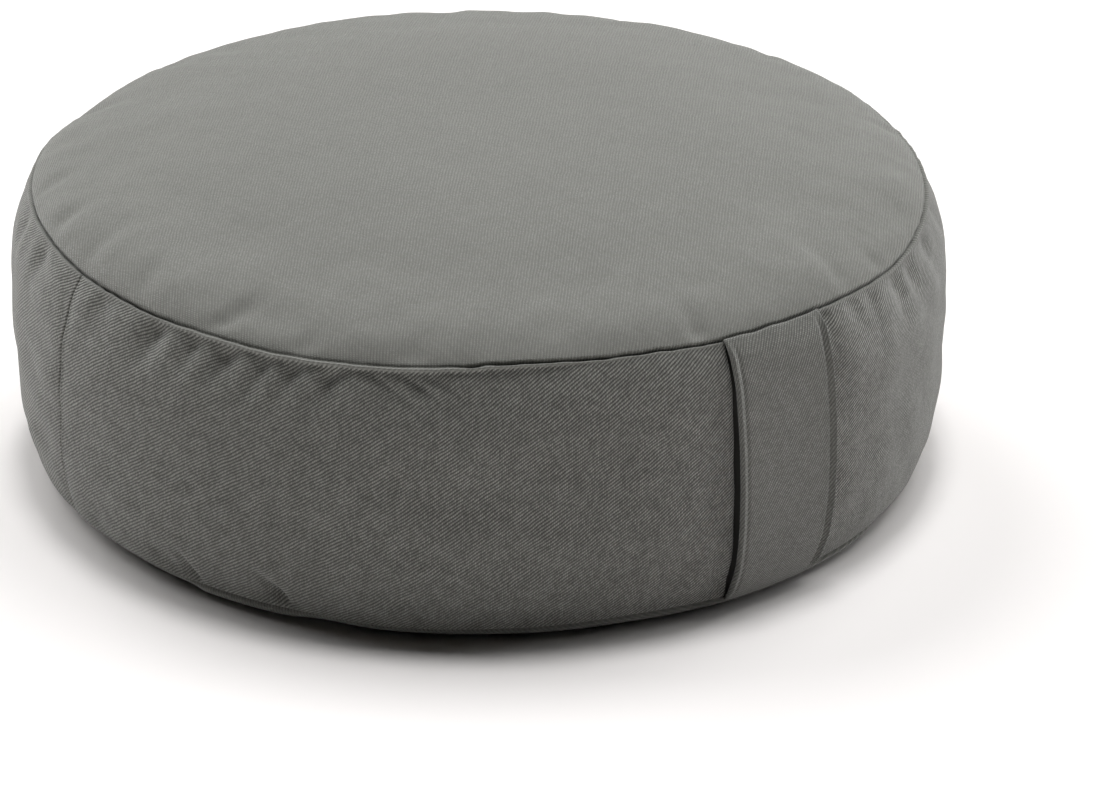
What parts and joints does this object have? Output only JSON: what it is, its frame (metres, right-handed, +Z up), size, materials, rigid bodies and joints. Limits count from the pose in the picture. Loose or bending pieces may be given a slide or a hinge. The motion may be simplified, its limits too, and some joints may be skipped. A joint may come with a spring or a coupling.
{
  "type": "zafu meditation cushion",
  "caption": "Low round filled floor cushion in grey twill, with a crowned top, a bulging side band, plain seams and a flat carry strap sewn to the band.",
  "frame": {"origin": "centre of the flat underside", "axes": "+Z up; -Y towards the carry strap"},
  "size_m": [0.33, 0.3309, 0.1262],
  "materials": {
    "twill": "matt cotton twill, fine diagonal wales",
    "strap_twill": "matt cotton twill, folded and pressed, stitched edges"
  },
  "bodies": {
    "root": {"cushion": "twill", "carry_strap": "strap_twill"}
  },
  "joints": []
}
